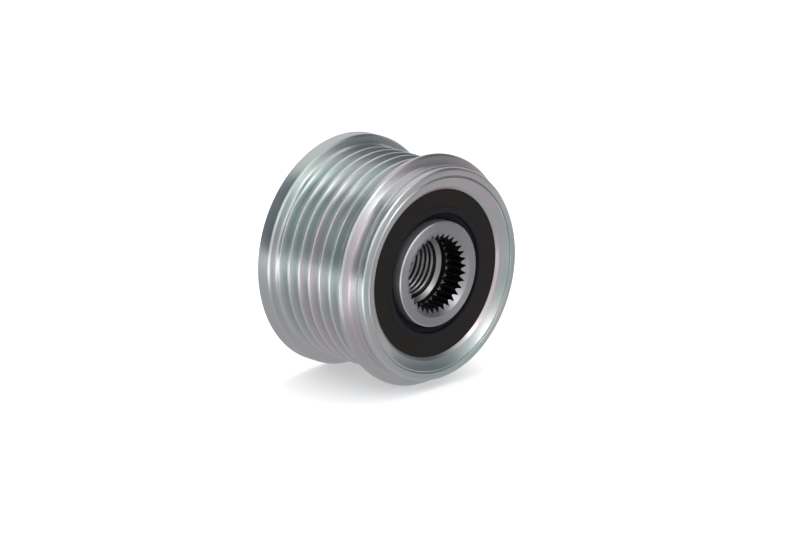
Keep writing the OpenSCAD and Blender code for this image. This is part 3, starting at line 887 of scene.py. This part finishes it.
class PULLEY_OT_inner_pieces(bpy.types.Operator):
    """Finishes the races, rollers, springs, cages and washers inside"""
    bl_idname = "pulley.inner_pieces"
    bl_label = "Clutch and bearings"

    def execute(self, context):
        finish = context.scene.pulley_looks.finish
        finishes = {
            "race_steel": plain_metal("race_steel", finish.race_steel,
                                      roughness=0.24, marks=12.0),
            "roller_steel": plain_metal("roller_steel", finish.roller_steel,
                                        roughness=0.14, marks=14.0),
            "spring_steel": plain_metal("spring_steel", finish.spring_steel,
                                        roughness=0.30, marks=9.0),
            "cage_polymer": moulded("cage_polymer", finish.cage,
                                    roughness=0.48, grains=6.0, bump=0.35),
        }
        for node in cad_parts.values():
            slot = node.data.materials[0].name
            if slot in finishes:
                node.data.materials.clear()
                node.data.materials.append(finishes[slot])
        return {"FINISHED"}


class PULLEY_OT_stage(bpy.types.Operator):
    """Sets up the floor, the light, the background and the camera"""
    bl_idname = "pulley.stage"
    bl_label = "Stage"

    def execute(self, context):
        stage = context.scene.pulley_looks.stage
        make_floor(stage)
        for card in CARDS:
            make_card(*card)
        make_tent(stage)
        make_world(context.scene, stage)
        make_lamp(context.scene, stage)
        make_camera(context.scene, stage)
        context.scene.view_settings.view_transform = "Standard"
        return {"FINISHED"}


def make_floor(stage):
    """A round floor under the ring, with a ring of faces that fades out round it."""
    deselect_all()
    bpy.ops.mesh.primitive_circle_add(vertices=96, radius=stage.floor_r, fill_type="NGON",
                                      location=(0, 0, FLOOR_Z))
    floor = bpy.context.object
    bpy.ops.object.mode_set(mode="EDIT")
    bpy.ops.mesh.select_all(action="SELECT")
    bpy.ops.mesh.inset(thickness=stage.floor_r - stage.floor_fade)
    bpy.ops.object.mode_set(mode="OBJECT")
    floor.name = "floor"
    floor.data.materials.append(floor_finish(stage))


def make_world(scene, stage):
    """White where it is looked at, and a soft dome of light that is stronger overhead."""
    world = bpy.data.worlds.new("studio")
    world.use_nodes = True
    scene.world = world
    tree = world.node_tree
    tree.nodes.clear()
    split = add(tree, "SeparateXYZ", {"Vector": add(tree, "TexCoord").outputs["Generated"]})
    height = smooth_step(tree, split.outputs["Z"], -0.6, 0.9)
    below = 0.7 * stage.dome
    gain = 0.6 * stage.dome
    dome = calc(tree, "MULTIPLY_ADD", height, gain, below)
    tone = add(tree, "Mix", {0: looking_rays(tree), 2: dome, 3: 1.0}).outputs[0]
    background = add(tree, "Background", {"Strength": tone})
    background.inputs["Color"].default_value = (1, 1, 1, 1)
    output = add(tree, "OutputWorld")
    tree.links.new(background.outputs[0], output.inputs["Surface"])


def make_card(name, place, turn, size, blur, tone, strength):
    """A card of one tone beside the object, which the metal alone shows."""
    deselect_all()
    bpy.ops.mesh.primitive_plane_add(size=1, location=place,
                                     rotation=[math.radians(angle) for angle in turn])
    card = bpy.context.object
    bpy.ops.transform.resize(value=(*size, 1), orient_type="LOCAL")
    card.name = name
    tree = gloss_only(card, tone, strength)
    split = add(tree, "SeparateXYZ", {"Vector": add(tree, "TexCoord").outputs["UV"]})
    mask = 1.0
    for axis in range(2):
        offset = calc(tree, "ABSOLUTE", calc(tree, "SUBTRACT", split.outputs[axis], 0.5))
        mask = calc(tree, "MULTIPLY", smooth_step(tree, offset, 0.5, 0.5 - blur), mask)
    tree.links.new(mask, tree.nodes["Mix Shader"].inputs[0])


def make_tent(stage):
    """A tent of one soft tone over the whole scene, which the metal alone shows."""
    deselect_all()
    bpy.ops.mesh.primitive_uv_sphere_add(segments=48, ring_count=24, radius=stage.tent_r)
    tent = bpy.context.object
    bpy.ops.object.mode_set(mode="EDIT")
    bpy.ops.mesh.select_all(action="SELECT")
    bpy.ops.mesh.bisect(plane_co=(0, 0, stage.tent_low), plane_no=(0, 0, 1), clear_inner=True)
    bpy.ops.mesh.select_all(action="SELECT")
    bpy.ops.mesh.flip_normals()
    bpy.ops.object.mode_set(mode="OBJECT")
    tent.name = "tent"
    gloss_only(tent, (1, 1, 1, 1), stage.tent)


def gloss_only(card, tone, strength):
    """Makes a card shine with one tone, for reflections alone; returns its node tree."""
    material = bpy.data.materials.new(card.name)
    material.use_nodes = True
    tree = material.node_tree
    tree.nodes.clear()
    light = add(tree, "Emission", {"Color": tone, "Strength": strength})
    clear = add(tree, "BsdfTransparent")
    mixed = add(tree, "MixShader", {0: 1.0, 1: clear.outputs[0], 2: light.outputs[0]})
    output = add(tree, "OutputMaterial")
    tree.links.new(mixed.outputs[0], output.inputs["Surface"])
    card.data.materials.append(material)
    card.visible_camera = False
    card.visible_diffuse = False
    card.visible_shadow = False
    return tree


def make_lamp(scene, stage):
    """A wide soft lamp above, behind and to the right, which throws the shadow forward."""
    light = bpy.data.lights.new("overhead_light", "AREA")
    light.shape = "DISK"
    light.size = stage.lamp_size
    light.energy = stage.lamp_power
    lamp = bpy.data.objects.new("overhead_light", light)
    scene.collection.objects.link(lamp)
    lamp.location = stage.lamp_place
    lamp.rotation_euler = (-lamp.location).to_track_quat("-Z", "Y").to_euler()
    lamp.visible_glossy = False


def make_camera(scene, stage):
    """The camera at the photograph's angle."""
    azimuth = stage.camera_azimuth
    elevation = stage.camera_elevation
    target = at_axis(0, stage.target_station)
    back = Vector((math.sin(azimuth) * math.cos(elevation),
                   -math.cos(azimuth) * math.cos(elevation), math.sin(elevation)))
    right = (-back).cross(Vector((0, 0, 1))).normalized()
    up = right.cross(-back)
    data = bpy.data.cameras.new("camera")
    data.lens = stage.lens
    data.clip_start = 0.1
    data.clip_end = 20
    camera = bpy.data.objects.new("camera", data)
    scene.collection.objects.link(camera)
    camera.location = target + back * stage.camera_distance
    aim = target + right * stage.aim_right + up * stage.aim_up
    camera.rotation_euler = (aim - camera.location).to_track_quat("-Z", "Y").to_euler()
    scene.camera = camera


class PULLEY_PT_panel(bpy.types.Panel):
    """Lists the steps that build the pulley's looks"""
    bl_idname = "PULLEY_PT_panel"
    bl_label = "Pulley"
    bl_space_type = "VIEW_3D"
    bl_region_type = "UI"
    bl_category = "Pulley"

    def draw(self, context):
        for step in STEPS:
            self.layout.operator(step.bl_idname)


STEPS = (PULLEY_OT_shared_effects, PULLEY_OT_ring, PULLEY_OT_hub, PULLEY_OT_seals,
         PULLEY_OT_inner_pieces, PULLEY_OT_stage)
CLASSES = (RingSizes, HubSizes, SealSizes, FinishColours, StageSettings, PulleyLooks,
           *STEPS, PULLEY_PT_panel)


def register():
    for cls in CLASSES:
        bpy.utils.register_class(cls)
    bpy.types.Scene.pulley_looks = PointerProperty(type=PulleyLooks)


def unregister():
    del bpy.types.Scene.pulley_looks
    for cls in reversed(CLASSES):
        bpy.utils.unregister_class(cls)


def main():
    """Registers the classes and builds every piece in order."""
    register()
    bpy.ops.pulley.shared_effects()
    bpy.ops.pulley.ring()
    bpy.ops.pulley.hub()
    bpy.ops.pulley.seals()
    bpy.ops.pulley.inner_pieces()
    bpy.ops.pulley.stage()


if __name__ == "__main__":
    main()
